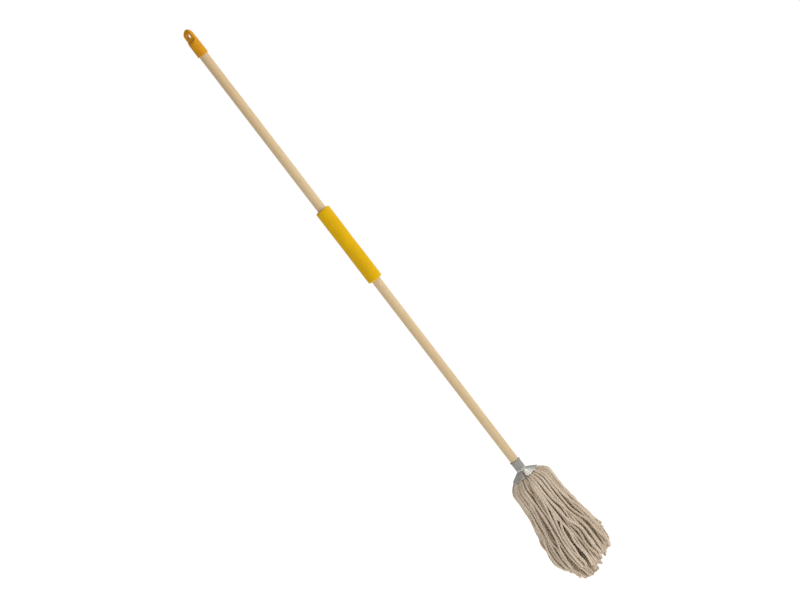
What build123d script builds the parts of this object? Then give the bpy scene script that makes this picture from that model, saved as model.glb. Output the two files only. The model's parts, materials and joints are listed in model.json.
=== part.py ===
from build123d import *
from math import cos, radians, sin, sqrt, tan
import os

# Round cotton string mop, hung by the hole in its cap.
# Origin: the centre of the hanging hole. +Z runs up along the handle, and +Y along the hole.
# Heights are distances below the hole unless a name says otherwise.

# Hanging cap
CAP_APEX = 19.4            # height of the cap's tip above the hole
CAP_MOUTH = 57.0           # depth of the cap's open end
CAP_RADIUS = 14.7
CAP_DRAFT = 0.5            # taper of the barrel, on the radius
CAP_DOME = 0.72            # fullness of the rounded top
CAP_MOUTH_EDGE = 0.8
CAP_SHOULDER = 15.0        # depth where the barrel narrows to the tongue
TONGUE_FRONT = 3.0         # from the handle's axis to the tongue's front face
TONGUE_BACK = 8.0          # and to its back face
TONGUE_BEVEL = (8.0, 2.5)  # the front face slopes back from this height to this far behind the axis
TONGUE_ROUNDING = 1.8
TONGUE_RAMP = 3.0          # rise of the slope between barrel and tongue
TONGUE_RUNOUT = 5.1        # how far below the shoulder the slope leaves the barrel's side
HANGER_HOLE_RADIUS = 6.3
HOLE_ROUNDING = 0.8

# Wooden handle
HANDLE_TOP = 24.5
HANDLE_LENGTH = 1365.5
HANDLE_RADIUS = 12.0
HANDLE_TOP_EDGE = 2.5
HANDLE_TIP_RADIUS = 9.7
HANDLE_TIP_LENGTH = 14.0

# Foam grip
GRIP_TOP = 543.5
GRIP_LENGTH = 221.0
GRIP_RADIUS = 19.8
GRIP_EDGE = 3.0

# Pressed socket: tube, flared skirt of four petals, and the four claws between them
SHEET = 1.2
SOCKET_TOP = 1346.0
SOCKET_CLEARANCE = 0.3     # between the handle and the tube, on the radius
LIP_RADIUS = 14.8
FLARE_START = 1374.8
SKIRT_RIM = 1390.1
SKIRT_RADIUS = 39.5
SKIRT_EDGE = 0.6           # slant of the petals' cut edge
SKIRT_KNEE = 0.7           # depth of the bend's inner corner, as a share of the skirt's thickness
PETALS = 4
SLOT_WIDTH = 4.4
SLOT_RELIEF = 5.0          # how far each slot runs up into the tube
SLOT_TURN = -54.0          # direction of the first slot, from +X
PETAL_CORNER = 6.0
CLAW_WIDTH = 3.8
CLAW_HOOK = 6.0            # length of claw bent out under the clamp plate
CLAW_ROOM = 0.3            # between a claw and what it passes through
CLAW_INSET = 0.1           # a claw is this much thinner than the tube's wall on each face

# Screw through the tube into the handle
SCREW_DEPTH = 1361.0
SCREW_RADIUS = 1.9
SCREW_REACH = 11.8         # length under the head
SCREW_HOLE_REACH = 13.0    # depth of its hole in the handle
SCREW_TIP = 1.4
SCREW_HEAD_RADIUS = 3.8
SCREW_HEAD_HEIGHT = 2.2
SCREW_HEAD_EDGE = 1.2
SCREW_CROSS = (4.4, 0.9, 1.1)   # length, width and depth of the driving recess
SCREW_TURN = 126.0         # direction of the screw, from +X

# Clamp plate under the folded yarn
PLATE_TOP = 1411.5
PLATE_RADIUS = 29.0
PLATE_EDGE = 0.5

# Yarn
YARN_ROOM = 0.4            # between the yarn and the metal round it
CROWN_BOTTOM = 1410.5
CROWN_RADIUS = 55.5
CROWN_SHOULDER = (50.5, 1401.5)   # radius and depth of a point on the rounded shoulder
TUFTS = 12
TUFT_GAP = 1.6             # between neighbouring tufts
HINGE_RADIUS = 44.5        # where the strands bend over the plate
HINGE_DEPTH = 1425.0
BEND_RADIUS = 13.5         # of the rounded top of a tuft
TUFT_SWING = 70.0          # how far a tuft swings out
TUFT_INNER_RADIUS = 28.5
TUFT_WAIST = (58.5, 1468.0)       # radius and depth of points down the outer side
TUFT_BULGE = (79.0, 1607.0)
TUFT_TAPER = (66.0, 1657.0)
TUFT_TIP = (40.0, 1683.0)
TUFT_TIP_SLOPE = (-1.0, -0.5)     # direction of the outer side where it ends
TUFT_INNER_DROP = 3.0      # the inner strands end this much lower
CORE_RADIUS = 26.0
CORE_BOTTOM = 1694.0
CORE_EDGE = 12.0           # rounding of the core's ends

MARGIN = 1.0               # how far cuts and selections reach past an edge
MATCH = 0.01               # radii closer than this are the same

TUBE_BORE = HANDLE_RADIUS + SOCKET_CLEARANCE
TUBE_RADIUS = TUBE_BORE + SHEET
PLATE_BOTTOM = PLATE_TOP + SHEET

os.makedirs("parts", exist_ok=True)


def save(piece, name):
    """Label one finished piece and write its STEP file."""
    piece.part.label = name
    export_step(piece.part, f"parts/{name}.step")


def make_handle():
    """Turned wooden handle, rounded at the top and tapered at the end that enters the socket."""
    bottom = HANDLE_TOP + HANDLE_LENGTH
    with BuildPart() as handle:
        with BuildSketch(Plane.XZ):
            with BuildLine():
                Polyline(
                    (0, -HANDLE_TOP),
                    (HANDLE_RADIUS, -HANDLE_TOP),
                    (HANDLE_RADIUS, -bottom + HANDLE_TIP_LENGTH),
                    (HANDLE_TIP_RADIUS, -bottom),
                    (0, -bottom),
                    close=True,
                )
            make_face()
        revolve(axis=Axis.Z)
        top_edge = handle.edges().filter_by(GeomType.CIRCLE).sort_by(Axis.Z)[-1]
        fillet(top_edge, radius=HANDLE_TOP_EDGE)
        screw_side = Plane(origin=(0, 0, -SCREW_DEPTH), z_dir=screw_direction())
        with BuildSketch(screw_side.offset(HANDLE_RADIUS)):
            Circle(SCREW_RADIUS)
        extrude(amount=-SCREW_HOLE_REACH, mode=Mode.SUBTRACT)
    save(handle, "handle")


def screw_direction():
    """Outward direction of the screw."""
    turn = radians(SCREW_TURN)
    return (cos(turn), sin(turn), 0)


def make_hanger_cap():
    """Moulded cap: a bullet-shaped barrel flattened above its shoulder into a holed tongue."""
    barrel_top = CAP_RADIUS - CAP_DRAFT
    with BuildPart() as cap:
        with BuildSketch(Plane.XZ):
            with BuildLine():
                Line((0, -CAP_MOUTH), (CAP_RADIUS, -CAP_MOUTH))
                Line((CAP_RADIUS, -CAP_MOUTH), (barrel_top, 0))
                Spline(
                    (barrel_top, 0),
                    (barrel_top * CAP_DOME, CAP_APEX * CAP_DOME),
                    (0, CAP_APEX),
                    tangents=((0, 1), (-1, 0)),
                )
                Line((0, CAP_APEX), (0, -CAP_MOUTH))
            make_face()
        revolve(axis=Axis.Z)
        # flats on both faces of the tongue, which stands towards the back of the barrel
        side = CAP_RADIUS + MARGIN
        bevel_height, bevel_back = TONGUE_BEVEL
        for face, flat in ((-1, TONGUE_FRONT), (1, TONGUE_BACK)):
            top = (flat if face > 0 else bevel_back, CAP_APEX + MARGIN)
            bend = (face * flat, bevel_height)
            with BuildSketch(Plane.YZ):
                with BuildLine():
                    Polyline(
                        top,
                        bend,
                        (face * flat, -CAP_SHOULDER + TONGUE_RAMP),
                        (face * (flat + TONGUE_RAMP), -CAP_SHOULDER),
                        (face * side, -CAP_SHOULDER - TONGUE_RUNOUT),
                        (face * side, CAP_APEX + MARGIN),
                        close=True,
                    )
                make_face()
            extrude(amount=CAP_RADIUS + MARGIN, both=True, mode=Mode.SUBTRACT)
        tongue_foot = -CAP_SHOULDER + TONGUE_RAMP + MARGIN
        tongue_edges = cap.edges().filter_by(lambda edge: edge.center().Z > tongue_foot)
        fillet(tongue_edges, radius=TONGUE_ROUNDING)
        with BuildSketch(Plane.XZ):
            Circle(HANGER_HOLE_RADIUS)
        extrude(amount=CAP_RADIUS, both=True, mode=Mode.SUBTRACT)
        hole_rims = cap.edges().filter_by(GeomType.CIRCLE).filter_by(
            lambda edge: abs(edge.radius - HANGER_HOLE_RADIUS) < MATCH
        )
        fillet(hole_rims, radius=HOLE_ROUNDING)
        # bore for the handle
        with BuildSketch(Plane.XY.offset(-CAP_MOUTH)):
            Circle(HANDLE_RADIUS)
        extrude(amount=CAP_MOUTH - HANDLE_TOP, mode=Mode.SUBTRACT)
        mouth = cap.edges().filter_by(GeomType.CIRCLE).group_by(Axis.Z)[0]
        chamfer(mouth.sort_by(SortBy.RADIUS)[-1], length=CAP_MOUTH_EDGE)
    save(cap, "hanger_cap")


def make_grip_sleeve():
    """Foam sleeve stretched over the handle."""
    with BuildPart() as grip:
        with BuildSketch(Plane.XY.offset(-GRIP_TOP)):
            Circle(GRIP_RADIUS)
            Circle(HANDLE_RADIUS, mode=Mode.SUBTRACT)
        extrude(amount=-GRIP_LENGTH)
        rims = grip.edges().filter_by(GeomType.CIRCLE).filter_by(
            lambda edge: edge.radius > HANDLE_RADIUS + MARGIN
        )
        fillet(rims, radius=GRIP_EDGE)
    save(grip, "grip_sleeve")


def slot_directions():
    """Directions of the slots between the petals, where the claws turn down."""
    return [SLOT_TURN + 360 / PETALS * count for count in range(PETALS)]


def petal_outline():
    """The skirt seen from above: a disc divided by the slots, with rounded petal corners."""
    with BuildSketch() as outline:
        Circle(SKIRT_RADIUS)
        for turn in slot_directions():
            with Locations(Location((0, 0, 0), (0, 0, turn))):
                with Locations((TUBE_BORE - MARGIN, 0)):
                    Rectangle(SKIRT_RADIUS, SLOT_WIDTH, align=(Align.MIN, Align.CENTER), mode=Mode.SUBTRACT)
        rim_corners = outline.vertices().filter_by(
            lambda corner: Vector(corner.X, corner.Y, 0).length > SKIRT_RADIUS - MARGIN
        )
        fillet(rim_corners, radius=PETAL_CORNER)
    return outline.sketch


def make_socket():
    """One pressing: lipped tube, petal skirt, and claws bent down from the slots."""
    flare = SKIRT_RADIUS - TUBE_RADIUS
    fall = SKIRT_RIM - FLARE_START
    drop = SHEET * sqrt(1 + (fall / flare) ** 2)   # the sheet's thickness, measured straight down
    with BuildPart() as socket:
        with BuildSketch(Plane.XZ):
            with BuildLine():
                Polyline(
                    (TUBE_BORE, -SOCKET_TOP),
                    (TUBE_RADIUS, -SOCKET_TOP),
                    (TUBE_RADIUS, -FLARE_START),
                    (SKIRT_RADIUS, -SKIRT_RIM),
                    (SKIRT_RADIUS - SKIRT_EDGE, -SKIRT_RIM - drop),
                    (TUBE_BORE, -FLARE_START - drop * SKIRT_KNEE),
                    close=True,
                )
            make_face()
        revolve(axis=Axis.Z)
        # rolled lip round the mouth of the tube
        roll = (LIP_RADIUS - TUBE_BORE) / 2
        with BuildSketch(Plane.XZ):
            with Locations((LIP_RADIUS - roll, -SOCKET_TOP - roll)):
                Circle(roll)
        revolve(axis=Axis.Z)
        # cut the slots and round the petals' corners
        with BuildSketch(Plane.XY.offset(-SKIRT_RIM - 2 * drop)):
            Circle(SKIRT_RADIUS + MARGIN)
            add(petal_outline(), mode=Mode.SUBTRACT)
        extrude(amount=fall + 2 * drop + SLOT_RELIEF, mode=Mode.SUBTRACT)
        # claws: straight down at the tube's wall, then hooked out under the plate
        claw_top = FLARE_START - SLOT_RELIEF - CLAW_ROOM
        for turn in slot_directions():
            across = Plane(
                origin=(0, 0, 0),
                x_dir=Vector(1, 0, 0).rotate(Axis.Z, turn),
                z_dir=Vector(0, -1, 0).rotate(Axis.Z, turn),
            )
            with BuildSketch(across):
                with BuildLine():
                    Polyline(
                        (TUBE_BORE + CLAW_INSET, -claw_top),
                        (TUBE_RADIUS - CLAW_INSET, -claw_top),
                        (TUBE_RADIUS - CLAW_INSET, -PLATE_BOTTOM),
                        (TUBE_RADIUS + CLAW_HOOK, -PLATE_BOTTOM),
                        (TUBE_RADIUS + CLAW_HOOK, -PLATE_BOTTOM - SHEET),
                        (TUBE_BORE + CLAW_INSET, -PLATE_BOTTOM - SHEET),
                        close=True,
                    )
                make_face()
            extrude(amount=CLAW_WIDTH / 2, both=True)
        # clearance hole for the screw
        screw_side = Plane(origin=(0, 0, -SCREW_DEPTH), z_dir=screw_direction())
        with BuildSketch(screw_side):
            Circle(SCREW_RADIUS)
        extrude(amount=TUBE_RADIUS + SHEET, mode=Mode.SUBTRACT)
    save(socket, "socket")


def make_socket_screw():
    """Pan-head screw that holds the handle in the socket."""
    cross_length, cross_width, cross_depth = SCREW_CROSS
    with BuildPart() as screw:
        seat = Plane(origin=(0, 0, -SCREW_DEPTH), z_dir=screw_direction()).offset(TUBE_RADIUS)
        with BuildSketch(seat):
            Circle(SCREW_HEAD_RADIUS)
        extrude(amount=SCREW_HEAD_HEIGHT)
        fillet(screw.edges().group_by(Axis(seat.origin, seat.z_dir))[-1], radius=SCREW_HEAD_EDGE)
        with BuildSketch(seat):
            Circle(SCREW_RADIUS)
        extrude(amount=-SCREW_REACH)
        chamfer(screw.edges().group_by(Axis(seat.origin, seat.z_dir))[0], length=SCREW_TIP)
        with BuildSketch(seat.offset(SCREW_HEAD_HEIGHT)):
            Rectangle(cross_length, cross_width)
            Rectangle(cross_width, cross_length)
        extrude(amount=-cross_depth, mode=Mode.SUBTRACT)
    save(screw, "socket_screw")


def make_clamp_plate():
    """Steel disc that the claws pull up against the folded yarn."""
    with BuildPart() as plate:
        with BuildSketch(Plane.XY.offset(-PLATE_BOTTOM)):
            Circle(PLATE_RADIUS)
            for turn in slot_directions():
                with Locations(Location((0, 0, 0), (0, 0, turn))):
                    with Locations((TUBE_RADIUS - SHEET / 2, 0)):
                        Rectangle(SHEET + 2 * CLAW_ROOM, CLAW_WIDTH + 2 * CLAW_ROOM, mode=Mode.SUBTRACT)
        extrude(amount=SHEET)
        top_rim = plate.edges().filter_by(GeomType.CIRCLE).group_by(Axis.Z)[-1]
        fillet(top_rim, radius=PLATE_EDGE)
    save(plate, "clamp_plate")


def make_yarn_crown():
    """Folded middle of the yarn, clamped between the skirt and the plate and pierced by the claws."""
    slope = (SKIRT_RIM - FLARE_START) / (SKIRT_RADIUS - TUBE_RADIUS)
    under_skirt = FLARE_START + SHEET * sqrt(1 + slope**2) + YARN_ROOM
    under_rim = under_skirt + slope * (SKIRT_RADIUS - TUBE_RADIUS)
    under_handle = HANDLE_TOP + HANDLE_LENGTH + YARN_ROOM
    shoulder_radius, shoulder_depth = CROWN_SHOULDER
    with BuildPart() as crown:
        with BuildSketch(Plane.XZ):
            with BuildLine():
                Polyline(
                    (0, -CROWN_BOTTOM),
                    (0, -under_handle),
                    (TUBE_RADIUS, -under_handle),
                    (TUBE_RADIUS, -under_skirt),
                    (SKIRT_RADIUS, -under_rim),
                )
                Spline(
                    (SKIRT_RADIUS, -under_rim),
                    (shoulder_radius, -shoulder_depth),
                    (CROWN_RADIUS, -CROWN_BOTTOM),
                )
                Line((CROWN_RADIUS, -CROWN_BOTTOM), (0, -CROWN_BOTTOM))
            make_face()
        revolve(axis=Axis.Z)
        for turn in slot_directions():
            with BuildSketch(Plane.XY.offset(-FLARE_START)):
                with Locations(Location((0, 0, 0), (0, 0, turn))):
                    with Locations((TUBE_RADIUS - SHEET / 2, 0)):
                        Rectangle(SHEET + 2 * YARN_ROOM, CLAW_WIDTH + 2 * YARN_ROOM)
            extrude(amount=FLARE_START - CROWN_BOTTOM, mode=Mode.SUBTRACT)
    save(crown, "yarn_crown")


def make_yarn_core():
    """Inner strands, hanging straight down from the plate."""
    hook_room = TUBE_RADIUS + CLAW_HOOK + YARN_ROOM
    top = PLATE_BOTTOM + YARN_ROOM
    under_hooks = PLATE_BOTTOM + SHEET + YARN_ROOM
    with BuildPart() as core:
        with BuildSketch(Plane.XZ):
            with BuildLine():
                Polyline(
                    (0, -CORE_BOTTOM),
                    (0, -under_hooks),
                    (hook_room, -under_hooks),
                    (hook_room, -top),
                    (CORE_RADIUS - SHEET, -top),
                    (CORE_RADIUS, -top - CORE_EDGE),
                    (CORE_RADIUS, -CORE_BOTTOM + CORE_EDGE),
                )
                Spline(
                    (CORE_RADIUS, -CORE_BOTTOM + CORE_EDGE),
                    (0, -CORE_BOTTOM),
                    tangents=((0, -1), (-1, 0)),
                )
            make_face()
        revolve(axis=Axis.Z)
    save(core, "yarn_core")


def wedge(plane, reach):
    """The space between two radial planes, less half the gap beside each, drawn on a plane."""
    half_angle = radians(180 / TUFTS)
    inset = TUFT_GAP / 2 / sin(half_angle)
    spread = (reach - inset) * tan(half_angle)
    with BuildSketch(plane) as outline:
        with BuildLine():
            Polyline((inset, 0), (reach, spread), (reach, -spread), close=True)
        make_face()
    return outline.sketch


def make_yarn_tuft(count):
    """One bundle of outer strands: a wedge between two radial planes, rounded about its hinge."""
    turn = 360 / TUFTS * count
    swing = radians(TUFT_SWING)
    waist_radius, waist_depth = TUFT_WAIST
    bulge_radius, bulge_depth = TUFT_BULGE
    taper_radius, taper_depth = TUFT_TAPER
    tip_radius, tip_depth = TUFT_TIP
    reach = bulge_radius + BEND_RADIUS
    inner_side = HINGE_RADIUS - BEND_RADIUS
    outer_side = HINGE_RADIUS + BEND_RADIUS
    outward = Vector(1, 0, 0).rotate(Axis.Z, turn)
    up = Vector(0, 0, 1)
    hinge = outward * HINGE_RADIUS - up * HINGE_DEPTH
    upright = Plane(origin=(0, 0, 0), x_dir=outward, z_dir=Vector(0, -1, 0).rotate(Axis.Z, turn))
    level = Plane(origin=(0, 0, -HINGE_DEPTH), x_dir=outward, z_dir=up)
    # the same wedge turned back about the hinge, so that the tuft stays in its wedge when swung out
    turned_x = outward * cos(swing) - up * sin(swing)
    turned_up = outward * sin(swing) + up * cos(swing)
    turned = Plane(origin=hinge - turned_x * HINGE_RADIUS, x_dir=turned_x, z_dir=turned_up)
    with BuildPart() as tuft:
        with BuildSketch(upright):
            with BuildLine():
                ThreePointArc(
                    (inner_side, -HINGE_DEPTH),
                    (HINGE_RADIUS, -HINGE_DEPTH + BEND_RADIUS),
                    (outer_side, -HINGE_DEPTH),
                )
                Spline(
                    (outer_side, -HINGE_DEPTH),
                    (waist_radius, -waist_depth),
                    (bulge_radius, -bulge_depth),
                    (taper_radius, -taper_depth),
                    (tip_radius, -tip_depth),
                    tangents=((0, -1), TUFT_TIP_SLOPE),
                )
                Polyline(
                    (tip_radius, -tip_depth),
                    (TUFT_INNER_RADIUS, -tip_depth - TUFT_INNER_DROP),
                    (TUFT_INNER_RADIUS, -waist_depth),
                    (inner_side, -HINGE_DEPTH),
                )
            make_face()
        extrude(amount=reach, both=True)
        extrude(wedge(level, reach), amount=tip_depth, both=True, mode=Mode.INTERSECT)
        swung_reach = 2 * (tip_depth - HINGE_DEPTH)
        extrude(wedge(turned, swung_reach), amount=swung_reach, both=True, mode=Mode.INTERSECT)
    save(tuft, f"yarn_tuft_{count + 1:02d}")


make_handle()
make_hanger_cap()
make_grip_sleeve()
make_socket()
make_socket_screw()
make_clamp_plate()
make_yarn_crown()
make_yarn_core()
for tuft_count in range(TUFTS):
    make_yarn_tuft(tuft_count)
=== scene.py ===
import json
import math

import bpy
import numpy as np
from mathutils import Matrix, Vector


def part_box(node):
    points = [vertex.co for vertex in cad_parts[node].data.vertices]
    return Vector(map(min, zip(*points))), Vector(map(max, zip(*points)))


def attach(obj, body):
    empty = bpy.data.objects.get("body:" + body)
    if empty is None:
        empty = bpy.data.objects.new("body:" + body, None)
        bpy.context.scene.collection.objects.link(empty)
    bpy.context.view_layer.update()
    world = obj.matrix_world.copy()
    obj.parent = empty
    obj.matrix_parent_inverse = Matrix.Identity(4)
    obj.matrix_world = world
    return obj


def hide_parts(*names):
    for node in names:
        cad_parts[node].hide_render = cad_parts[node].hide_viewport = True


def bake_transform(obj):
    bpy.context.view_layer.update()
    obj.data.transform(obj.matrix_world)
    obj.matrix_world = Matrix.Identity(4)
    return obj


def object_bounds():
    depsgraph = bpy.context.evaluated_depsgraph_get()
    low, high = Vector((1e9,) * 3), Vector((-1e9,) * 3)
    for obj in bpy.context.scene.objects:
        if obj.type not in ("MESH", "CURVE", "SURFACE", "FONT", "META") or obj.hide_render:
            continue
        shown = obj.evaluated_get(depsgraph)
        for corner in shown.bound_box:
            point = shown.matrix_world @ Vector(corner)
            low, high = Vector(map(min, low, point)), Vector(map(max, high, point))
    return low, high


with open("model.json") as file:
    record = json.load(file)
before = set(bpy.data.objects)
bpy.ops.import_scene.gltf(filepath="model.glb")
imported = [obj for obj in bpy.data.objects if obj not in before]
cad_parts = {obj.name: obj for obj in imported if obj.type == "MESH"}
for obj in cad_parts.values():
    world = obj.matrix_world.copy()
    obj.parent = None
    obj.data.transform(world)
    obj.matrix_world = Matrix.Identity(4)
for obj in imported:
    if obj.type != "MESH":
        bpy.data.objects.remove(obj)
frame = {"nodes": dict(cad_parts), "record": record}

cad_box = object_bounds()

# ---------------------------------------------------------------------------
# Driving values, in metres and degrees unless said otherwise. Places come from the frame.
# ---------------------------------------------------------------------------
JOINTS = frame["record"]["behaviour"]["joints"]
ROOT = "mop_frame"
HINGE_X, HINGE_Y, HINGE_Z = JOINTS[0]["pos_m"]
HINGE_RADIUS = math.hypot(HINGE_X, HINGE_Y)
TUFTS = len(JOINTS)
HALF_TUFT = 180 / TUFTS       # half of the angle that a tuft fills

# One strand of yarn
YARN_RADIUS = 0.0035
YARN_PITCH = 0.021            # length of one turn of its twist
YARN_STEP = 0.0023            # between rings of its mesh
YARN_SIDES = 12
PLIES = 3
PLY_GROOVE = 0.20             # depth of the creases between plies, as a share of the radius
TUBE_END = 0.3                # height of a tube's rounded end, as a share of the radius
THICK_AND_THIN = 0.05         # how much its radius swings, as a share
THICK_SPACING = 0.011         # length over which it swings by one radian
ROUGH = 0.015                 # random change of its radius from ring to ring
END_SWELL = 0.22              # how much its cut end swells
END_LENGTH = 0.004            # and over what length

# Loose fibres at a strand's cut end
FRAYS = 4
FRAY_LEAN = 0.33
FRAY_CURL = 0.0018
FRAY_REACH = (0.005, 0.010)
FRAY_ROOT = 0.003             # how far inside the end they start
FRAY_SPREAD = 0.0010
FRAY_RADII = [0.00042, 0.00036, 0.0002]
FRAY_SIDES = 4

# How strands wander outwards and sideways: how far, and the waves along the strand that add up
WANDER_OUT = (0.0019, (1.3, 2.9, 4.6))
WANDER_SIDE = (0.0030, (0.9, 2.1, 3.7))
WANDER_CORE = (0.0032, (0.8, 1.9, 3.3))
WANDER_GROWTH = 1.6           # a strand wanders in full from 1 / 1.6 of its length
INNER_CALM = 0.5              # how much less the innermost strands wander outwards

# The strands' middle lines, as (radius, height above the hinge) in millimetres, from under the
# skirt to the tips: the outermost strands, and the innermost ones that still turn over the plate.
OUTER_LINE = [(22, 39.6), (38.4, 28.4), (47.2, 20.6), (52.8, 14.6), (55.9, 8), (56.8, 0),
              (56.8, -20), (57.6, -45), (60.2, -68), (65.4, -100), (70.6, -132), (74.2, -158),
              (75.8, -182), (74.8, -200), (71.6, -216), (66.8, -231), (62, -243), (57, -258),
              (53, -272)]
INNER_LINE = [(22, 19), (26, 18.8), (30.2, 17.4), (33, 14.2), (34.8, 8.4), (35.2, 1),
              (34.8, -18), (33.8, -45), (32.8, -68), (32.4, -100), (32, -132), (31.8, -158),
              (31.6, -182), (31.4, -200), (31.2, -216), (31, -231), (31, -243), (31, -258),
              (31, -272)]
FREE_FALL = 0.2               # depth below the hinge where a strand's splay is as stated
FREE_LIMIT = 1.3              # splay grows no further than this many times that depth
LOOSENING = 4                 # strands wander in full from a quarter of that depth
BULGE_TOP = 0.03              # depth where a tuft's bulge begins
BULGE_LENGTH = 0.26
DRIFT_DEPTH = 0.154           # depth by which a strand has finished its drift round the handle

# Rows of strands in a tuft: how far in (0 outermost, 1 innermost), how many, and the tips' depth
ROWS = [(0.00, 4, 0.226), (0.15, 3, 0.236), (0.33, 4, 0.246), (0.58, 3, 0.253), (0.85, 2, 0.258)]
ROW_SCATTER = 0.03            # of how far in
ROW_MARGIN = 1.6              # between the last strand of a row and the tuft's side
ROW_SPREAD = 1.04
TURN_SCATTER = 0.5
TIP_SCATTER = 0.0085
TIP_LEVEL = 0.240             # depth of the tips of a tuft that is cut even
CLUMP_TURN = 7.6              # a tuft's strands gather into two clumps, this far to either side
CLUMP_SCATTER = 1.3
CLUMPING = (0.3, 0.85)        # how much of its way to the clump a strand goes
DRIFT_SCATTER = 1.6
LONGER = 0.022                # how much longer the strands towards the front and back are
LONGER_LEVEL = 0.45           # from sideways, 0, to front or back, 1: where they have mean length
ROW_TONE = (0.55, 0.28)       # mean and scatter of the strands' tone, from dark, 0, to light, 1
INNER_SHADE = 0.25            # how much darker the innermost strands are: painted shade

# Strands lying across a tuft's others: how many and which way, for the tufts that differ
CROSSINGS = {8: (2, -1), 9: (2, -1), 10: (3, -1), 11: (2, 1), 0: (2, 1)}
CROSSING_START = 13           # how far to the side the first one starts
CROSSING_SPREAD = 9           # and how much nearer to the tuft's middle the last one does
CROSSING_SCATTER = 0.6
CROSSING_DRIFT = (13, 18)
CROSSING_TIPS = (-0.03, 0.008)
CROSSING_OUT = -0.08          # how far in they lie: outside the first row
CROSSING_TOP = 0.045          # depth where the first one begins to swing across
CROSSING_RISE = 0.05          # how much higher the last ones begin
CROSSING_DROP = 0.150         # height over which such a strand swings across
CROSSING_TONE = (0.7, 0.15)

# Tufts that differ: how much fuller, how far their tips stand out, how much longer they are, and
# how even their tips are, from 0 to 1
FORMS = {0: (-0.0065, 0.003, -0.012, 0.7), 1: (-0.0100, 0.003, 0.003, 0.7),
         2: (-0.0085, 0.002, 0.003, 0.7), 3: (-0.003, 0, -0.010, 0), 11: (-0.002, 0, -0.007, 0),
         8: (0, 0, 0.004, 0), 9: (0, 0, 0.008, 0)}
PLAIN_FORM = (0.0, 0.0, 0.0, 0.0)

# A lock that stands out from one tuft
STRAY_TUFT = 1
STRAY_TURNS = (-3, 1, 5)      # where its strands are, from the tuft's middle
STRAY_SPLAY = 0.013
STRAY_LENGTH = 0.187
STRAY_SCATTER = 0.004
STRAY_TONE = 0.8

# Where the strands part and show the shade between them: direction at the parting's top and at its
# foot, heights of both above the hinge, and how far the strands beside it sink in
PARTINGS = [(306, 282, 0.034, -0.045, 0.0055), (323, 323, 0.014, -0.045, 0.003),
            (274, 272, -0.060, -0.160, 0.003), (307, 305, -0.070, -0.180, 0.003),
            (351, 350, -0.050, -0.130, 0.003), (296, 295, -0.160, -0.270, 0.002),
            (338, 336, -0.150, -0.250, 0.002), (265, 264, -0.135, -0.210, 0.002)]
PARTING_WIDTH = 5.0
PARTING_PUSH = 3.4            # how far it moves the strands beside it

# The skirt's slots, and how the yarn lies lower under them
SLOTS = (-54, 36, 126, 216)   # direction from the handle
SLOT_DIP = 0.011
SLOT_DIP_WIDTH = 8
SLOT_DIP_END = 0.056          # radius where the dip has faded out
SLOT_DIP_FADE = 0.022         # and over what length

# How strands are kept inside their tuft's wedge
WEDGE_CLEARANCE = 1.08        # from its sides, in strand radii
WEDGE_MOST = 0.9              # the most of the radius that this may take up
WEDGE_PRESS = 1.05            # how hard they are pressed together near them

# Two points outwards and up from a tuft's hinge, as (out, up), which make_tuft works out and leaves
# unused
BLEND_ABOVE = (-0.006, 0.026)
BLEND_BELOW = (0.012, -0.012)

# Folded strands under the skirt, as (radius, height above the hinge) in millimetres
CROWN_ROWS = ((44, [(15.3, 42.5), (24, 35.5), (37, 25), (43, 17), (45.6, 10), (46, 4)]),
              (30, [(16, 31), (28, 25), (34, 19), (37.5, 12), (38, 6)]))
CROWN_TURNS = (0.3, 0.7)      # where in its share of the circle a strand may be
CROWN_SCATTER = 0.0004
CROWN_TONE = (0.4, 0.15)

# Strands of the core
CORE_STRANDS = 18
CORE_FILL = 0.94              # share of the core's radius that they fill
GOLDEN_ANGLE = 137.5
CORE_TIPS = (0.0, 0.022)      # above the core's foot
CORE_HOLLOW = 0.008           # how much higher the outer tips are
CORE_TURN = 8                 # how far their feet are turned round the handle
CORE_SPREAD = 1.10            # and spread
CORE_TONE = (0.3, 0.15)

# Foam grip
GRIP_GAP = 0.00005            # between its bore and the handle
GRIP_EDGE = 0.0038            # radius of its rounded edges
GRIP_CHAMFER = ((0.0, 0.0012), (0.0016, 0.0002))  # edge of its bore: out, and in from its end
GRIP_EDGE_STEPS = 8
GRIP_SIDES = 120
GRIP_ROWS = 190
GRIP_WAVES = 9                # waves that add up to its dents
WAVE_HEIGHT = (20, 70)        # each one's radians per metre along the grip,
WAVE_ROUND = (1, 5)           # number of crests round it, the last number left out,
WAVE_SIZE = (0.3, 1)          # and share of the dents' size
GRIP_DENT = 0.000045
GRIP_WAIST = 0.00025          # how much its middle is pressed in

# Painted shade: steel drawn darker above this height, where the tube ends and the skirt begins,
# standing in for the tube's darker reflections
SKIRT_TOP = -1.375
TUBE_SHADE_FADE = 0.006

# Camera
CAMERA_AZIMUTH = 40.0
CAMERA_ELEVATION = 5.0
CAMERA_ROLL = 37.5            # how far the handle leans in the picture
LENS = 105.0                  # in millimetres, as is the sensor
SENSOR = 36.0
FRAME_WIDTH = 2.0184          # of the picture, measured at the mop
AIM_DEPTH = 0.8434            # height of the picture's middle, below the hanging hole
AIM_SIDE = 0.0172             # and its distance to the right of the handle
CLIP_END = 100

# Lights: direction as parts of right, back and up in the picture, where back is towards the
# camera, then distance, width, height and power in watts
LIGHTS = {"key": ((0.75, 0.55, 0.75), 3.4, 1.4, 2.0, 45),
          "rim": ((0.9, -0.3, 0.3), 3.0, 1.0, 2.4, 6),
          "top": ((0.25, -0.3, 0.95), 3.0, 0.5, 0.5, 13)}
AMBIENT = 0.31
FLOOR_GLOW = 0.72
FLOOR_HALF = 15.0
FLOOR_DROP = 0.05             # below the CAD model


def unit(v):
    """v at length 1."""
    return np.asarray(v, float) / np.linalg.norm(v)


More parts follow.
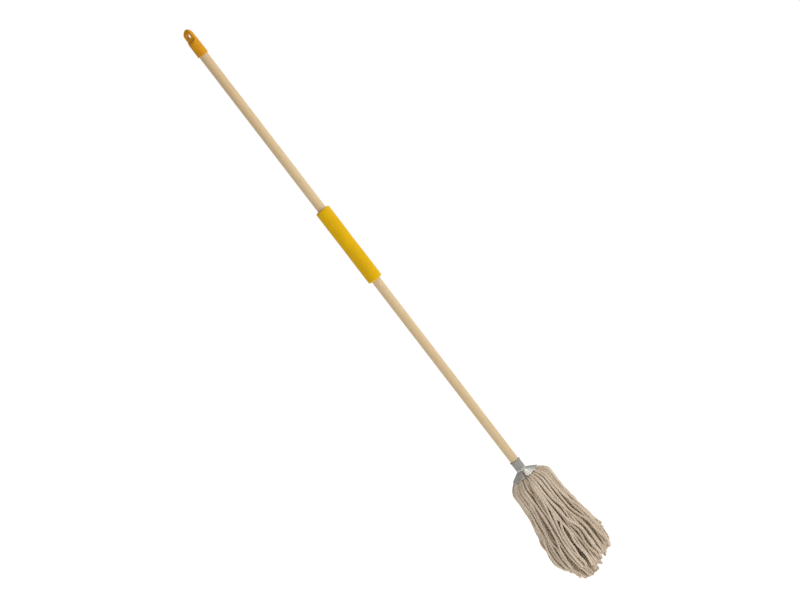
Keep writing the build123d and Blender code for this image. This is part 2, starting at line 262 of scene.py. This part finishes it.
def around(angle, radius=1.0, height=0.0):
    """A point at an angle round the handle, in degrees from +X."""
    turn = math.radians(angle)
    return np.array((radius * math.cos(turn), radius * math.sin(turn), height))


# ---------------------------------------------------------------------------
# Meshes
# ---------------------------------------------------------------------------
CURVE_STEPS = 12              # points worked out between two given points of a curve
TUBE_START = (0.3, 0.2, 0.9)  # a direction that no tube starts in


class Shape:
    """Vertices, faces, UVs and one tone per vertex, gathered before one mesh is made from them."""

    def __init__(self):
        self.points, self.faces, self.uvs, self.tones = [], [], [], []
        self.count = 0

    def add(self, points, faces, uvs, tone):
        """Add a closed part: points, faces that number its own points, and UVs per face corner."""
        self.points.append(points)
        self.faces += [[self.count + index for index in face] for face in faces]
        self.uvs.append(uvs)
        self.tones.append(np.broadcast_to(tone, len(points)))
        self.count += len(points)

    def object(self, name, material):
        """The finished Blender object."""
        mesh = bpy.data.meshes.new(name)
        mesh.from_pydata(np.concatenate(self.points).tolist(), [], self.faces)
        layer = mesh.uv_layers.new(name="strand")
        layer.data.foreach_set("uv", np.concatenate(self.uvs).astype(np.float32).ravel())
        tone = mesh.attributes.new("tone", "FLOAT", "POINT")
        tone.data.foreach_set("value", np.concatenate(self.tones).astype(np.float32))
        mesh.polygons.foreach_set("use_smooth", [True] * len(mesh.polygons))
        mesh.materials.append(material)
        mesh.update()
        made = bpy.data.objects.new(name, mesh)
        bpy.context.scene.collection.objects.link(made)
        return made


def grid_faces(rings, sides):
    """Quads between closed rings, and a fan of triangles to a last point at each end."""
    faces, corners = [], []
    for ring in range(rings - 1):
        for side in range(sides):
            after = (side + 1) % sides
            low, high = ring * sides, (ring + 1) * sides
            faces.append([low + side, low + after, high + after, high + side])
            corners.append(((side, ring), (side + 1, ring), (side + 1, ring + 1), (side, ring + 1)))
    start, end = rings * sides, rings * sides + 1
    last = (rings - 1) * sides
    for side in range(sides):
        after = (side + 1) % sides
        faces.append([after, side, start])
        corners.append(((side + 1, 0), (side, 0), (side + 0.5, 0)))
        faces.append([last + side, last + after, end])
        corners.append(((side, rings - 1), (side + 1, rings - 1), (side + 0.5, rings - 1)))
    return faces, corners


def smooth_line(points, spacing):
    """Points every spacing along a Catmull-Rom curve through the given points."""
    points = np.asarray(points, float)
    ends = np.vstack((2 * points[0] - points[1], points, 2 * points[-1] - points[-2]))
    steps = np.linspace(0, 1, CURVE_STEPS, endpoint=False)[:, None]
    curve = []
    for p0, p1, p2, p3 in zip(ends, ends[1:], ends[2:], ends[3:]):
        square = 2 * p0 - 5 * p1 + 4 * p2 - p3
        cube = 3 * p1 - p0 - 3 * p2 + p3
        curve.append(0.5 * (2 * p1 + (p2 - p0) * steps + square * steps**2 + cube * steps**3))
    curve = np.vstack(curve + [points[-1:]])
    length = np.concatenate(([0], np.cumsum(np.linalg.norm(np.diff(curve, axis=0), axis=1))))
    places = np.linspace(0, length[-1], max(int(length[-1] / spacing), 3) + 1)
    return np.column_stack([np.interp(places, length, curve[:, k]) for k in range(curve.shape[1])])


def tube(shape, path, radii, sides, plies, pitch, phase, tone):
    """Add a closed twisted tube along a path. Its rings turn with the twist, and so do creases."""
    path = np.asarray(path, float)
    along = np.gradient(path, axis=0)
    along /= np.linalg.norm(along, axis=1)[:, None]
    normals = np.empty_like(path)
    side = np.cross(along[0], TUBE_START)
    for index, direction in enumerate(along):
        side = side - direction * side.dot(direction)
        side /= np.linalg.norm(side)
        normals[index] = side
    across = np.cross(along, normals)
    length = np.concatenate(([0], np.cumsum(np.linalg.norm(np.diff(path, axis=0), axis=1))))
    ring = 2 * math.pi * np.arange(sides) / sides
    lobes = np.ones(sides)
    if plies:
        lobes = 1 - PLY_GROOVE + PLY_GROOVE * np.abs(np.cos(plies / 2 * ring))
    turn = ring[None] + phase + 2 * math.pi * length[:, None] / pitch
    reach = np.asarray(radii)[:, None] * lobes[None]
    rings = (path[:, None] + (reach * np.cos(turn))[..., None] * normals[:, None]
             + (reach * np.sin(turn))[..., None] * across[:, None])
    caps = np.stack((path[0] - along[0] * radii[0] * TUBE_END,
                     path[-1] + along[-1] * radii[-1] * TUBE_END))
    points = np.vstack((rings.reshape(-1, 3), caps))
    faces, corners = grid_faces(len(path), sides)
    uvs = np.array([(u / sides, length[v] / pitch) for corner in corners for u, v in corner])
    shape.add(points, faces, uvs, tone)


# ---------------------------------------------------------------------------
# Yarn
# ---------------------------------------------------------------------------
def waver(rng, length, amount, waves):
    """A slow random sideways wander that starts at nothing and grows along a strand."""
    place = np.linspace(0, 1, length)
    wander = np.zeros(length)
    for wave in waves:
        size = rng.normal(0, amount / len(waves))
        wander += size * np.sin(2 * math.pi * (wave * place + rng.random()))
    return (wander - wander[0]) * np.clip(place * WANDER_GROWTH, 0, 1)


def frayed_end(shape, rng, path, tone):
    """A few loose fibres fanned out at the cut end of a strand."""
    tip, before = path[-1], path[-4]
    out = unit(tip - before)
    for _ in range(FRAYS):
        lean = out + rng.normal(0, FRAY_LEAN, 3)
        curl = rng.normal(0, FRAY_CURL, 3)
        reach = rng.uniform(*FRAY_REACH)
        root = tip - out * FRAY_ROOT + rng.normal(0, FRAY_SPREAD, 3)
        hair = [root + unit(lean) * reach * place + curl * place**2 for place in (0, 0.5, 1)]
        tube(shape, hair, FRAY_RADII, FRAY_SIDES, plies=0, pitch=1.0, phase=0, tone=tone)


def strand(shape, rng, path, tone, cut=True):
    """One strand of twisted yarn, a little uneven. It swells at its end, and frays if it is cut."""
    count = len(path)
    place = np.arange(count) * YARN_STEP
    from_tip = place[-1] - place
    thick = THICK_AND_THIN * np.sin(place / THICK_SPACING + rng.random() * 6)
    radii = YARN_RADIUS * (1 + thick + rng.normal(0, ROUGH, count))
    radii *= 1 + END_SWELL * np.exp(-from_tip / END_LENGTH)
    tube(shape, path, radii, YARN_SIDES, PLIES, YARN_PITCH, rng.random() * 6, tone)
    if cut:
        frayed_end(shape, rng, path, tone)


def under_slot(radius, turn):
    """How far a strand dips where it passes under one of the skirt's slots."""
    off = min(abs((turn - slot + 180) % 360 - 180) for slot in SLOTS)
    fade = np.clip((SLOT_DIP_END - radius) / SLOT_DIP_FADE, 0, 1)
    return SLOT_DIP * math.exp(-(off / SLOT_DIP_WIDTH) ** 2) * fade


def part(radius, turn, height):
    """Move a strand's points aside and inwards where they meet a parting."""
    for top_turn, foot_turn, top, foot, sink in PARTINGS:
        along = np.clip((top - height) / (top - foot), 0, 1)
        off = (turn - top_turn - (foot_turn - top_turn) * along + 180) % 360 - 180
        near = np.exp(-(off / PARTING_WIDTH) ** 2) * np.sin(math.pi * along)
        turn = turn + PARTING_PUSH * near * off / (np.abs(off) + 1)
        radius = radius - sink * near
    return radius, turn


def strand_line(rng, depth_in, angle, drift, tip_depth, bulge, splay, swing=(0.0, DRIFT_DEPTH)):
    """The middle line of a hanging strand. It drifts round the handle between swing's depths."""
    outer, inner = np.array(OUTER_LINE, float), np.array(INNER_LINE, float)
    line = smooth_line((outer + (inner - outer) * depth_in) / 1000, YARN_STEP)
    line = line[line[:, 1] > -tip_depth]
    count = len(line)
    fall = np.clip(-line[:, 1] / FREE_FALL, 0, FREE_LIMIT)
    loose = np.clip(fall * LOOSENING, 0, 1)
    radius = line[:, 0] + waver(rng, count, *WANDER_OUT) * (1 - depth_in * INNER_CALM) * loose
    full = np.sin(math.pi * np.clip((-line[:, 1] - BULGE_TOP) / BULGE_LENGTH, 0, 1)) ** 2
    radius += bulge * full + splay * fall**2
    sideways = waver(rng, count, *WANDER_SIDE) * loose
    across = np.clip((-line[:, 1] - swing[0]) / (swing[1] - swing[0]), 0, 1)
    turn = angle + drift * (3 * across**2 - 2 * across**3) + np.degrees(sideways / radius)
    radius, turn = part(radius, turn, line[:, 1])
    turn = np.radians(turn)
    height = HINGE_Z + line[:, 1] - under_slot(radius, angle)
    return np.column_stack((radius * np.cos(turn), radius * np.sin(turn), height))


def keep_in_wedge(path, middle):
    """Bend a strand's line softly back between the radial planes on either side of its tuft."""
    radius = np.hypot(path[:, 0], path[:, 1])
    turn = np.degrees(np.arctan2(path[:, 1], path[:, 0])) - middle
    turn = (turn + 180) % 360 - 180
    room = np.clip(YARN_RADIUS * WEDGE_CLEARANCE / radius, 0, WEDGE_MOST)
    limit = HALF_TUFT - np.degrees(np.arcsin(room))
    press = np.tanh(turn / limit * WEDGE_PRESS) / math.tanh(WEDGE_PRESS)
    turn = np.radians(middle + limit * press)
    return np.column_stack((radius * np.cos(turn), radius * np.sin(turn), path[:, 2]))


def random_tone(rng, mean, scatter, shade=0.0):
    """A strand's tone, from 0, dark, to 1, light."""
    return np.clip(rng.normal(mean, scatter) - shade, 0, 1)


def make_tuft(number, joint):
    """The strands of one hinged tuft: rows of strands in clumps, with a few lying across them."""
    rng = np.random.default_rng(100 + number)
    middle = math.degrees(math.atan2(joint["pos_m"][1], joint["pos_m"][0]))
    facing = abs(math.cos(math.radians(middle - (CAMERA_AZIMUTH - 90))))
    clumps = [side * CLUMP_TURN + rng.normal(0, CLUMP_SCATTER) for side in (-1, 1)]
    crossings, way = CROSSINGS.get(number, (1, 1 if rng.random() > 0.5 else -1))
    bulge, splay, longer, even = FORMS.get(number, PLAIN_FORM)
    shape = Shape()
    for row, (depth_in, count, tips) in enumerate(ROWS):
        count -= max(crossings - 1, 0) if row == 0 else 0
        for place in range(count):
            offset = ((place + 0.5) / count - 0.5) * 2 * (HALF_TUFT - ROW_MARGIN) * ROW_SPREAD
            offset += rng.normal(0, TURN_SCATTER)
            clump = min(clumps, key=lambda centre: abs(centre - offset))
            drift = (clump - offset) * rng.uniform(*CLUMPING) + rng.normal(0, DRIFT_SCATTER)
            tip = tips + even * (TIP_LEVEL - tips) + rng.normal(0, TIP_SCATTER) * (1 - even / 2)
            tip += longer + LONGER * (facing - LONGER_LEVEL) * (1 - depth_in)
            inward = depth_in + rng.uniform(0, ROW_SCATTER)
            line = strand_line(rng, inward, middle + offset, drift, tip, bulge, splay)
            tone = random_tone(rng, *ROW_TONE, shade=INNER_SHADE * depth_in)
            strand(shape, rng, keep_in_wedge(line, middle), tone)
    for place in range(crossings):
        nearer = CROSSING_SPREAD * place / max(crossings - 1, 1)
        start = -way * (CROSSING_START - nearer + rng.normal(0, CROSSING_SCATTER))
        tip = ROWS[0][2] + longer + LONGER * (facing - LONGER_LEVEL) + rng.uniform(*CROSSING_TIPS)
        begin = CROSSING_TOP - CROSSING_RISE * place / crossings
        line = strand_line(rng, CROSSING_OUT, middle + start, way * rng.uniform(*CROSSING_DRIFT),
                           tip, bulge, splay, swing=(begin, begin + CROSSING_DROP))
        tone = random_tone(rng, *CROSSING_TONE)
        strand(shape, rng, keep_in_wedge(line, middle), tone)
    if number == STRAY_TUFT:
        for offset in STRAY_TURNS:
            tip = STRAY_LENGTH + rng.normal(0, STRAY_SCATTER)
            line = strand_line(rng, 0.0, middle + offset, 0, tip, bulge, STRAY_SPLAY)
            strand(shape, rng, keep_in_wedge(line, middle), STRAY_TONE)
    made = shape.object(f"strands_{number + 1:02d}", YARN)
    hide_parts(f"yarn_tuft_{number + 1:02d}")
    start, end = (around(middle, HINGE_RADIUS + out, HINGE_Z + up)
                  for out, up in (BLEND_ABOVE, BLEND_BELOW))
    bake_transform(made)


def make_crown():
    """Short lengths of the folded strands, seen between the petals and where the tufts part."""
    rng = np.random.default_rng(7)
    shape = Shape()
    for count, line in CROWN_ROWS:
        for place in range(count):
            turn = 360 * (place + rng.uniform(*CROWN_TURNS)) / count
            flat = smooth_line(np.array(line, float) / 1000, YARN_STEP)
            flat[:, 1] -= under_slot(flat[:, 0], turn)
            path = np.array([around(turn, radius, HINGE_Z + height) for radius, height in flat])
            tone = random_tone(rng, *CROWN_TONE)
            strand(shape, rng, path + rng.normal(0, CROWN_SCATTER, 3), tone, cut=False)
    made = shape.object("crown_strands", YARN)
    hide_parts("yarn_crown")
    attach(made, ROOT)


def make_core():
    """The inner strands, hanging from the clamp plate."""
    rng = np.random.default_rng(11)
    low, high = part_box("yarn_core")
    shape = Shape()
    for place in range(CORE_STRANDS):
        radius = (high[0] - YARN_RADIUS) * math.sqrt((place + 0.5) / CORE_STRANDS) * CORE_FILL
        turn = place * GOLDEN_ANGLE
        tip = low[2] + rng.uniform(*CORE_TIPS) + CORE_HOLLOW * radius / high[0]
        top = Vector(around(turn, radius, high[2] - YARN_RADIUS))
        foot = Vector(around(turn + rng.normal(0, CORE_TURN), radius * CORE_SPREAD, tip))
        steps = np.linspace(0, 1, int((top.z - foot.z) / YARN_STEP))
        line = np.array([top.lerp(foot, step) for step in steps])
        for axis in (0, 1):
            line[:, axis] += waver(rng, len(line), *WANDER_CORE)
        strand(shape, rng, line, random_tone(rng, *CORE_TONE))
    made = shape.object("core_strands", YARN)
    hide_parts("yarn_core")
    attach(made, ROOT)


# ---------------------------------------------------------------------------
# Foam grip
# ---------------------------------------------------------------------------
def make_grip():
    """Foam sleeve: a turned form with soft ends, pressed in a little by use."""
    low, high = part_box("grip_sleeve")
    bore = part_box("handle")[1][0] + GRIP_GAP
    reach, middle, half = high[0], (low[2] + high[2]) / 2, (high[2] - low[2]) / 2
    edge = GRIP_EDGE
    outline = [(bore + out, half - back) for out, back in GRIP_CHAMFER]
    for step in range(GRIP_EDGE_STEPS + 1):
        turn = math.pi / 2 * step / GRIP_EDGE_STEPS
        outline.append((reach - edge + edge * math.sin(turn), half - edge + edge * math.cos(turn)))
    straight = [(reach, (half - edge) * (1 - 2 * row / GRIP_ROWS)) for row in range(1, GRIP_ROWS)]
    outline = outline + straight + [(radius, -height) for radius, height in reversed(outline)]
    rng = np.random.default_rng(3)
    waves = [(rng.uniform(*WAVE_HEIGHT), rng.integers(*WAVE_ROUND), rng.random() * 6,
              rng.uniform(*WAVE_SIZE)) for _ in range(GRIP_WAVES)]
    points, faces = [], []
    for radius, height in outline:
        skin = np.clip((radius - bore) / (reach - bore), 0, 1)
        for side in range(GRIP_SIDES):
            turn = 2 * math.pi * side / GRIP_SIDES
            dent = sum(size * math.sin(k * height + n * turn + p) for k, n, p, size in waves)
            dent *= GRIP_DENT
            waist = -GRIP_WAIST * math.cos(math.pi * height / half / 2) ** 2
            reach_here = radius + skin * (dent + waist)
            x, y = reach_here * math.cos(turn), reach_here * math.sin(turn)
            points.append((x, y, middle + height))
    count = len(outline)
    for ring in range(count):
        here, below = ring * GRIP_SIDES, (ring + 1) % count * GRIP_SIDES
        for side in range(GRIP_SIDES):
            after = (side + 1) % GRIP_SIDES
            faces.append([here + side, below + side, below + after, here + after])
    shape = Shape()
    uvs = np.array([(points[i][2], i % GRIP_SIDES / GRIP_SIDES) for face in faces for i in face])
    shape.add(np.array(points), faces, uvs, 0.5)
    made = shape.object("foam_grip", FOAM)
    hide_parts("grip_sleeve")
    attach(made, ROOT)


# ---------------------------------------------------------------------------
# Materials
# ---------------------------------------------------------------------------
def linear(colour):
    """An sRGB colour, given as 0 to 255, in linear light, with alpha."""
    values = [channel / 255 for channel in colour]
    return [value / 12.92 if value <= 0.04045 else ((value + 0.055) / 1.055) ** 2.4
            for value in values] + [1.0]


class Paint:
    """A procedural material under construction."""

    def __init__(self, name, roughness, metallic=0.0, coordinates="Object"):
        self.material = bpy.data.materials.new(name)
        self.material.use_nodes = True
        self.nodes, self.links = self.material.node_tree.nodes, self.material.node_tree.links
        self.surface = self.nodes["Principled BSDF"]
        self.surface.inputs["Roughness"].default_value = roughness
        self.surface.inputs["Metallic"].default_value = metallic
        if coordinates == "Object":
            self.place = self.nodes.new("ShaderNodeTexCoord").outputs["Object"]
        else:
            node = self.nodes.new("ShaderNodeUVMap")
            node.uv_map = coordinates
            self.place = node.outputs["UV"]

    def node(self, kind, settings=None, **inputs):
        """A node with settings, and its inputs set to values or linked to sockets.

        An input is named with _ for a space, or numbered as i0, i1 and so on.
        """
        made = self.nodes.new("ShaderNode" + kind)
        for name, value in (settings or {}).items():
            setattr(made, name, value)
        for name, value in inputs.items():
            numbered = name[0] == "i" and name[1:].isdigit()
            target = made.inputs[int(name[1:]) if numbered else name.replace("_", " ")]
            if isinstance(value, bpy.types.NodeSocket):
                self.links.new(value, target)
            else:
                target.default_value = value
        return made

    def scaled(self, scale):
        """The coordinates stretched by a scale for each axis."""
        return self.node("Mapping", Vector=self.place, Scale=scale).outputs[0]

    def noise(self, scale, detail=3.0, roughness=0.55, stretch=(1, 1, 1), distortion=0.0):
        """Noise at a scale per metre, stretched."""
        return self.node("TexNoise", Vector=self.scaled(stretch), Scale=scale, Detail=detail,
                         Roughness=roughness, Distortion=distortion).outputs["Fac"]

    def ramp(self, fac, stops):
        """A colour ramp through (place, sRGB colour) stops."""
        made = self.node("ValToRGB", Fac=fac)
        band = made.color_ramp.elements
        while len(band) < len(stops):
            band.new(0.5)
        for element, (place, colour) in zip(band, stops):
            element.position = place
            element.color = linear(colour)
        return made.outputs["Color"]

    def mix(self, fac, first, second):
        """Two colours mixed."""
        return self.node("Mix", {"data_type": "RGBA"}, i0=fac, i6=first, i7=second).outputs[2]

    def remap(self, value, low, high, to_low, to_high):
        """A value range moved to another."""
        return self.node("MapRange", Value=value, From_Min=low, From_Max=high, To_Min=to_low,
                         To_Max=to_high).outputs[0]

    def bump(self, height, strength, distance, under=None):
        """A bump, over another one if given."""
        inputs = {"Height": height, "Strength": strength, "Distance": distance}
        if under:
            inputs["Normal"] = under
        return self.node("Bump", **inputs).outputs[0]

    def finish(self, colour, roughness=None, normal=None):
        """Link the results to the surface."""
        self.links.new(colour, self.surface.inputs["Base Color"])
        if roughness:
            self.links.new(roughness, self.surface.inputs["Roughness"])
        if normal:
            self.links.new(normal, self.surface.inputs["Normal"])
        return self.material


def wood_paint():
    """Pale pine: long growth lines, fine pores, and a browner tone towards the top."""
    paint = Paint("pine", 0.55)
    bend = paint.noise(9, 2, stretch=(1, 1, 0.12))
    lines = paint.node("TexWave", {"bands_direction": "X"}, Vector=paint.scaled((1, 0.75, 0.012)),
                       Scale=95, Distortion=9, Detail=2.5, Detail_Scale=1.6).outputs["Fac"]
    fibres = paint.noise(1500, 3, stretch=(1, 1, 0.022))
    colour = paint.ramp(lines, [(0.0, (214, 187, 142)), (0.55, (228, 206, 164)),
                                (1.0, (203, 171, 124))])
    threads = paint.ramp(fibres, [(0.3, (188, 152, 104)), (0.7, (240, 218, 178))])
    colour = paint.mix(0.35, colour, threads)
    blotches = paint.ramp(bend, [(0.3, (222, 190, 142)), (0.7, (234, 212, 172))])
    colour = paint.mix(0.4, colour, blotches)
    pores = paint.noise(900, 2, stretch=(1, 1, 0.05))
    colour = paint.mix(paint.remap(pores, 0.62, 0.74, 0, 0.45), colour, linear((150, 112, 70)))
    height = paint.node("SeparateXYZ", Vector=paint.place).outputs["Z"]
    colour = paint.mix(paint.remap(height, -0.5, 0.0, 0.0, 0.55), colour, linear((196, 160, 112)))
    roughness = paint.remap(fibres, 0.3, 0.7, 0.48, 0.66)
    normal = paint.bump(fibres, 0.35, 0.0004, paint.bump(lines, 0.2, 0.0003))
    return paint.finish(colour, roughness, normal)


def plastic_paint():
    """Amber moulded plastic with faint orange peel, scuffs and grime."""
    paint = Paint("amber_plastic", 0.34)
    paint.surface.inputs["Specular IOR Level"].default_value = 0.3
    clouds = paint.noise(60, 4)
    scuffs = paint.noise(420, 5, 0.7, stretch=(1, 1, 0.25), distortion=1.2)
    colour = paint.ramp(clouds, [(0.3, (208, 138, 0)), (0.7, (220, 154, 2))])
    colour = paint.mix(paint.remap(scuffs, 0.56, 0.75, 0, 0.35), colour, linear((232, 178, 44)))
    grime = paint.remap(paint.noise(150, 3), 0.52, 0.8, 0, 0.35)
    colour = paint.mix(grime, colour, linear((172, 106, 6)))
    roughness = paint.remap(scuffs, 0.4, 0.7, 0.28, 0.5)
    normal = paint.bump(scuffs, 0.12, 0.0003, paint.bump(paint.noise(1600, 1), 0.08, 0.0002))
    return paint.finish(colour, roughness, normal)


def foam_paint():
    """Yellow closed-cell foam: fine pores, a dry skin and faint rubbed patches."""
    paint = Paint("yellow_foam_skin", 0.85)
    cells = paint.node("TexVoronoi", Vector=paint.place, Scale=850).outputs["Distance"]
    pores = paint.node("TexVoronoi", Vector=paint.place, Scale=320).outputs["Distance"]
    pits = paint.remap(pores, 0.0, 0.28, 1.0, 0.0)
    clouds = paint.noise(28, 4)
    colour = paint.ramp(clouds, [(0.3, (224, 174, 0)), (0.7, (234, 188, 4))])
    colour = paint.mix(paint.remap(cells, 0.1, 0.7, 0.0, 0.25), colour, linear((208, 152, 0)))
    colour = paint.mix(paint.remap(pores, 0.0, 0.22, 0.55, 0.0), colour, linear((170, 118, 10)))
    normal = paint.bump(pits, -0.5, 0.0005, paint.bump(cells, 0.35, 0.0003))
    paint.surface.inputs["Sheen Weight"].default_value = 0.04
    paint.surface.inputs["Specular IOR Level"].default_value = 0.2
    return paint.finish(colour, paint.remap(clouds, 0.3, 0.7, 0.8, 0.93), normal)


def steel_paint(name, light, dark, roughness):
    """Zinc on steel: spangle patches of differing grey and shine, with fine scratches, and painted
    shade that darkens the tube above the skirt.
    """
    paint = Paint(name, roughness, metallic=0.9)
    swirl = paint.node("TexNoise", Vector=paint.place, Scale=120).outputs["Color"]
    warp = paint.node("Mix", {"data_type": "VECTOR"}, i0=0.12, i4=paint.place, i5=swirl).outputs[1]
    spangle = paint.node("TexVoronoi", Vector=warp, Scale=190).outputs["Color"]
    tone = paint.node("SeparateColor", Color=spangle).outputs[0]
    scratches = paint.noise(900, 4, 0.7, stretch=(1, 1, 0.08))
    colour = paint.ramp(tone, [(0.0, dark), (1.0, light)])
    dull = paint.remap(paint.noise(110, 4), 0.45, 0.75, 0, 0.5)
    colour = paint.mix(dull, colour, linear((162, 158, 149)))
    height = paint.node("SeparateXYZ", Vector=paint.place).outputs["Z"]
    # Painted shade: the tube above the skirt is drawn darker, standing in for its darker
    # reflections.
    tube_shade = paint.remap(height, SKIRT_TOP, SKIRT_TOP + TUBE_SHADE_FADE, 0.0, 0.64)
    colour = paint.mix(tube_shade, colour, linear((118, 114, 106)))
    patches = paint.remap(tone, 0, 1, roughness - 0.1, roughness + 0.12)
    scratched = paint.remap(scratches, 0.3, 0.7, -0.05, 0.08)
    shine = paint.node("Math", {"operation": "ADD"}, i0=patches, i1=scratched).outputs[0]
    normal = paint.bump(scratches, 0.15, 0.0002, paint.bump(tone, 0.12, 0.0002))
    return paint.finish(colour, shine, normal)


def yarn_paint():
    """Unbleached cotton yarn: fibres along each ply, strands of differing tone, flecks of husk."""
    paint = Paint("cotton_yarn_twist", 0.95, coordinates="strand")
    tone = paint.node("Attribute", {"attribute_name": "tone"}).outputs["Fac"]
    fibres = paint.node("TexNoise", Vector=paint.scaled((38, 2.6, 1)), Scale=1.0, Detail=4.0,
                        Roughness=0.65).outputs["Fac"]
    lumps = paint.node("TexNoise", Vector=paint.scaled((2.0, 1.1, 1)), Scale=1.0,
                       Detail=2.0).outputs["Fac"]
    colour = paint.ramp(tone, [(0.0, (188, 167, 140)), (0.5, (222, 203, 179)),
                               (1.0, (245, 230, 210))])
    threads = paint.ramp(fibres, [(0.28, (180, 159, 131)), (0.5, (222, 204, 181)),
                                  (0.75, (247, 235, 217))])
    colour = paint.mix(0.45, colour, threads)
    colour = paint.mix(paint.remap(lumps, 0.35, 0.7, 0.0, 0.35), colour, linear((206, 184, 155)))
    flecks = paint.node("TexNoise", Vector=paint.scaled((14, 9, 1)), Scale=1.0,
                        Detail=1.0).outputs["Fac"]
    colour = paint.mix(paint.remap(flecks, 0.72, 0.78, 0, 0.6), colour, linear((120, 96, 66)))
    normal = paint.bump(fibres, 0.55, 0.0006, paint.bump(lumps, 0.2, 0.0006))
    paint.surface.inputs["Sheen Weight"].default_value = 0.25
    paint.surface.inputs["Sheen Roughness"].default_value = 0.6
    paint.surface.inputs["Specular IOR Level"].default_value = 0.2
    return paint.finish(colour, paint.remap(fibres, 0.3, 0.7, 0.86, 0.98), normal)


def floor_paint():
    """A pale matt studio floor, lit from within so that it stays white."""
    paint = Paint("studio_floor", 0.9)
    colour = paint.ramp(paint.noise(1.2, 2), [(0.3, (246, 246, 246)), (0.7, (252, 252, 252))])
    paint.surface.inputs["Emission Color"].default_value = (1, 1, 1, 1)
    paint.surface.inputs["Emission Strength"].default_value = FLOOR_GLOW
    return paint.finish(colour)


YARN = yarn_paint()
FOAM = foam_paint()
WOOD = wood_paint()
PLASTIC = plastic_paint()
GALVANISED = steel_paint("galvanised_spangle", (240, 238, 232), (190, 188, 182), 0.46)
ZINC = steel_paint("zinc_plate", (186, 184, 176), (160, 158, 150), 0.33)


def dress(node, material):
    """Give a CAD node a finished material in place of its plain one."""
    for slot in frame["nodes"][node].material_slots:
        slot.material = material


# ---------------------------------------------------------------------------
# Stage
# ---------------------------------------------------------------------------
def make_camera():
    """A long lens, a little above the middle of the mop, rolled so that the mop leans."""
    turn, rise = math.radians(CAMERA_AZIMUTH), math.radians(CAMERA_ELEVATION)
    back = Vector((math.sin(turn) * math.cos(rise), -math.cos(turn) * math.cos(rise),
                   math.sin(rise)))
    right = Vector((math.cos(turn), math.sin(turn), 0))
    up = back.cross(right)
    aim = right * AIM_SIDE + Vector((0, 0, -AIM_DEPTH))
    data = bpy.data.cameras.new("camera")
    data.lens, data.sensor_width = LENS, SENSOR
    camera = bpy.data.objects.new("camera", data)
    bpy.context.scene.collection.objects.link(camera)
    axes = Matrix((right, up, back)).transposed().to_4x4()
    place = Matrix.Translation(aim + back * FRAME_WIDTH * LENS / SENSOR)
    camera.matrix_world = place @ axes @ Matrix.Rotation(math.radians(-CAMERA_ROLL), 4, "Z")
    data.clip_end = CLIP_END
    bpy.context.scene.camera = camera
    return right, up, back, aim


def make_light(name, direction, aim, distance, width, height, power):
    """A soft rectangular light facing the mop."""
    data = bpy.data.lights.new(name, "AREA")
    data.shape, data.size, data.size_y, data.energy = "RECTANGLE", width, height, power
    light = bpy.data.objects.new(name, data)
    bpy.context.scene.collection.objects.link(light)
    direction = direction.normalized()
    light.location = aim + direction * distance
    light.rotation_mode = "QUATERNION"
    light.rotation_quaternion = direction.to_track_quat("Z", "Y")


def make_world():
    """White to the eye, and a softer ambient light on the object."""
    world = bpy.data.worlds.new("studio")
    bpy.context.scene.world = world
    world.use_nodes = True
    nodes, links = world.node_tree.nodes, world.node_tree.links
    background = nodes["Background"]
    background.inputs["Color"].default_value = (1, 1, 1, 1)
    seen = nodes.new("ShaderNodeLightPath").outputs["Is Camera Ray"]
    strength = nodes.new("ShaderNodeMapRange")
    links.new(seen, strength.inputs["Value"])
    strength.inputs["To Min"].default_value = AMBIENT
    strength.inputs["To Max"].default_value = 1.0
    links.new(strength.outputs[0], background.inputs["Strength"])


def make_floor():
    """The pale floor, just below the yarn."""
    half, level = FLOOR_HALF, cad_box[0].z - FLOOR_DROP
    mesh = bpy.data.meshes.new("floor")
    corners = [(x * half, y * half, level) for x, y in ((-1, -1), (1, -1), (1, 1), (-1, 1))]
    mesh.from_pydata(corners, [], [(0, 1, 2, 3)])
    mesh.materials.append(floor_paint())
    floor = bpy.data.objects.new("floor", mesh)
    bpy.context.scene.collection.objects.link(floor)


def make_stage():
    """Camera, lights, world and floor."""
    right, up, back, aim = make_camera()
    for name, (toward, distance, width, height, power) in LIGHTS.items():
        direction = right * toward[0] + back * toward[1] + up * toward[2]
        make_light(name, direction, aim, distance, width, height, power)
    make_world()
    make_floor()
    bpy.context.scene.view_settings.view_transform = "Standard"
    bpy.context.scene.view_settings.look = "None"


dress("handle", WOOD)
dress("hanger_cap", PLASTIC)
dress("socket", GALVANISED)
dress("clamp_plate", GALVANISED)
dress("socket_screw", ZINC)
make_grip()
make_crown()
make_core()
for tuft_number, tuft_joint in enumerate(JOINTS):
    make_tuft(tuft_number, tuft_joint)
make_stage()
